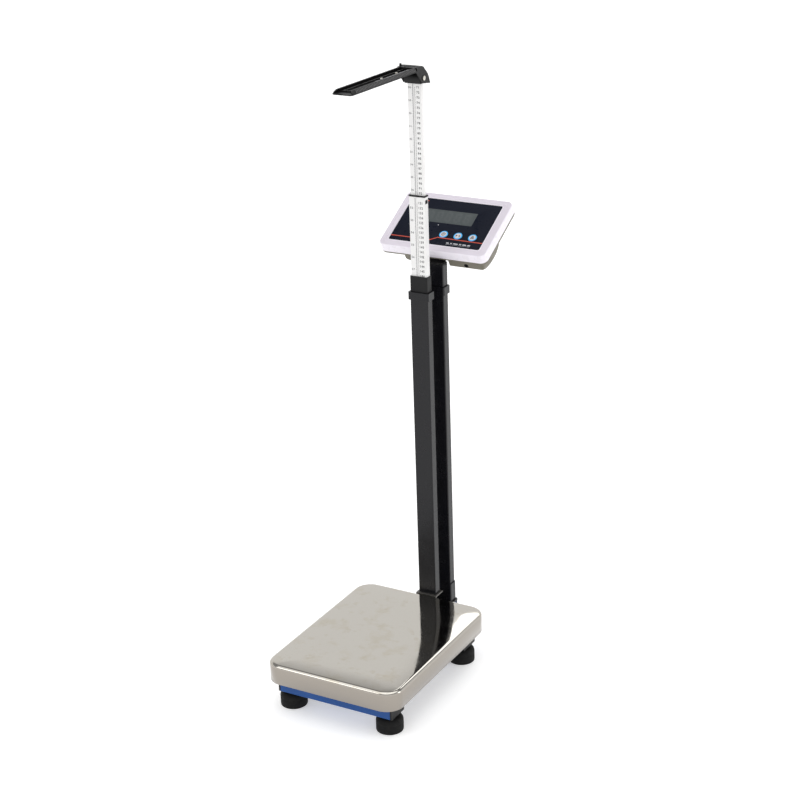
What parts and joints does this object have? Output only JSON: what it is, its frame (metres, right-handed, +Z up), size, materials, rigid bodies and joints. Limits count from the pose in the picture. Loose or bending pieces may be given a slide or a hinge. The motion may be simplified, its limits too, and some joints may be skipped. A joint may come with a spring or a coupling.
{
  "type": "electronic physician scale",
  "caption": "Floor scale with a polished platform, twin columns, a sloping keypad display and a telescopic height rod with a folding measuring arm.",
  "frame": {"origin": "middle of the scale's footprint on the floor, under the feet", "axes": "+Z up; -Y is the side a person steps on from; +X is to the right of a person facing the display"},
  "size_m": [0.3, 0.6138, 1.2382],
  "materials": {
    "polished_steel": "polished stainless steel",
    "blue_paint": "satin blue powder coat",
    "black_plastic": "moulded, satin",
    "rubber": "matt moulded rubber",
    "zinc": "zinc plated",
    "aluminium": "milled",
    "black_paint": "semi-gloss black powder coat",
    "ruler_white": "white anodised",
    "bezel_plastic": "fine texture, off-white",
    "shell_plastic": "fine texture, taupe grey",
    "overlay_film": "printed film, satin",
    "display_window": "clear window",
    "display_module": "grey-green display",
    "circuit_board": "green solder mask",
    "key_plastic": "blue-rimmed keys"
  },
  "bodies": {
    "base": {"front_cross_tube": "blue_paint", "rear_cross_tube": "blue_paint", "spine_tube": "blue_paint", "column_beam": "blue_paint", "weigh_frame": "blue_paint", "front_left_tube_plug": "black_plastic", "front_right_tube_plug": "black_plastic", "rear_left_tube_plug": "black_plastic", "rear_right_tube_plug": "black_plastic", "beam_end_plug": "black_plastic", "column_cap": "black_plastic", "rod_tube_plug": "black_plastic", "rod_guide_cap": "black_plastic", "charging_socket": "black_plastic", "battery": "black_plastic", "front_left_cover_pad": "rubber", "front_right_cover_pad": "rubber", "rear_left_cover_pad": "rubber", "rear_right_cover_pad": "rubber", "signal_cable": "rubber", "lower_spacer": "zinc", "upper_spacer": "zinc", "socket_bolt_left": "zinc", "socket_bolt_right": "zinc", "rod_bracket": "zinc", "clamp_spacer": "zinc", "clamp_bolt": "zinc", "load_cell": "aluminium", "rear_column": "black_paint", "column_socket": "black_paint", "rod_tube": "black_paint", "front_clamp": "black_paint", "rear_clamp": "black_paint", "head_bracket": "black_paint", "head_bezel": "bezel_plastic", "head_back_shell": "shell_plastic", "head_overlay": "overlay_film", "lcd_window": "display_window", "lcd_display": "display_module", "circuit_board": "circuit_board"},
    "platform": {"platform_cover": "polished_steel"},
    "front_left_foot": {"front_left_foot_pad": "rubber", "front_left_foot_stud": "zinc"},
    "front_right_foot": {"front_right_foot_pad": "rubber", "front_right_foot_stud": "zinc"},
    "rear_left_foot": {"rear_left_foot_pad": "rubber", "rear_left_foot_stud": "zinc"},
    "rear_right_foot": {"rear_right_foot_pad": "rubber", "rear_right_foot_stud": "zinc"},
    "lower_rod": {"lower_ruler_tube": "ruler_white", "ruler_collar": "black_plastic"},
    "rod_lock": {"lock_button": "black_plastic"},
    "upper_rod": {"upper_ruler_rod": "ruler_white", "rod_bush": "black_plastic", "hinge_block": "black_plastic", "hinge_pin": "zinc"},
    "arm": {"measuring_arm": "black_plastic"},
    "key_1": {"key_1": "key_plastic"},
    "key_2": {"key_2": "key_plastic"},
    "key_3": {"key_3": "key_plastic"}
  },
  "joints": [
    {"name": "cover_lift", "type": "slide", "parent": "base", "child": "platform", "axis": [0, 0, 1], "range_m": [0, 0.06]},
    {"name": "front_left_foot_turn", "type": "hinge", "parent": "base", "child": "front_left_foot", "pos_m": [-0.111, -0.25988, 0.02], "axis": [0, 0, 1], "continuous": true},
    {"name": "front_right_foot_turn", "type": "hinge", "parent": "base", "child": "front_right_foot", "pos_m": [0.111, -0.25988, 0.02], "axis": [0, 0, 1], "continuous": true},
    {"name": "rear_left_foot_turn", "type": "hinge", "parent": "base", "child": "rear_left_foot", "pos_m": [-0.111, 0.04612, 0.02], "axis": [0, 0, 1], "continuous": true},
    {"name": "rear_right_foot_turn", "type": "hinge", "parent": "base", "child": "rear_right_foot", "pos_m": [0.111, 0.04612, 0.02], "axis": [0, 0, 1], "continuous": true},
    {"name": "lower_rod_slide", "type": "slide", "parent": "base", "child": "lower_rod", "axis": [0, 0, 1], "range_m": [-0.1495, 0.4505]},
    {"name": "rod_lock_press", "type": "slide", "parent": "lower_rod", "child": "rod_lock", "axis": [-1, 0, 0], "range_m": [0, 0.0006], "stiffness_N_per_m": 600},
    {"name": "upper_rod_slide", "type": "slide", "parent": "lower_rod", "child": "upper_rod", "axis": [0, 0, 1], "range_m": [-0.222, 0.378]},
    {"name": "arm_fold", "type": "hinge", "parent": "upper_rod", "child": "arm", "pos_m": [0, 0.11082, 1.2094], "axis": [1, 0, 0], "range_deg": [0, 90]},
    {"name": "key_1_press", "type": "slide", "parent": "base", "child": "key_1", "axis": [0, 0.4833, -0.8755], "range_m": [0, 0.0008], "stiffness_N_per_m": 500},
    {"name": "key_2_press", "type": "slide", "parent": "base", "child": "key_2", "axis": [0, 0.4833, -0.8755], "range_m": [0, 0.0008], "stiffness_N_per_m": 500},
    {"name": "key_3_press", "type": "slide", "parent": "base", "child": "key_3", "axis": [0, 0.4833, -0.8755], "range_m": [0, 0.0008], "stiffness_N_per_m": 500}
  ]
}
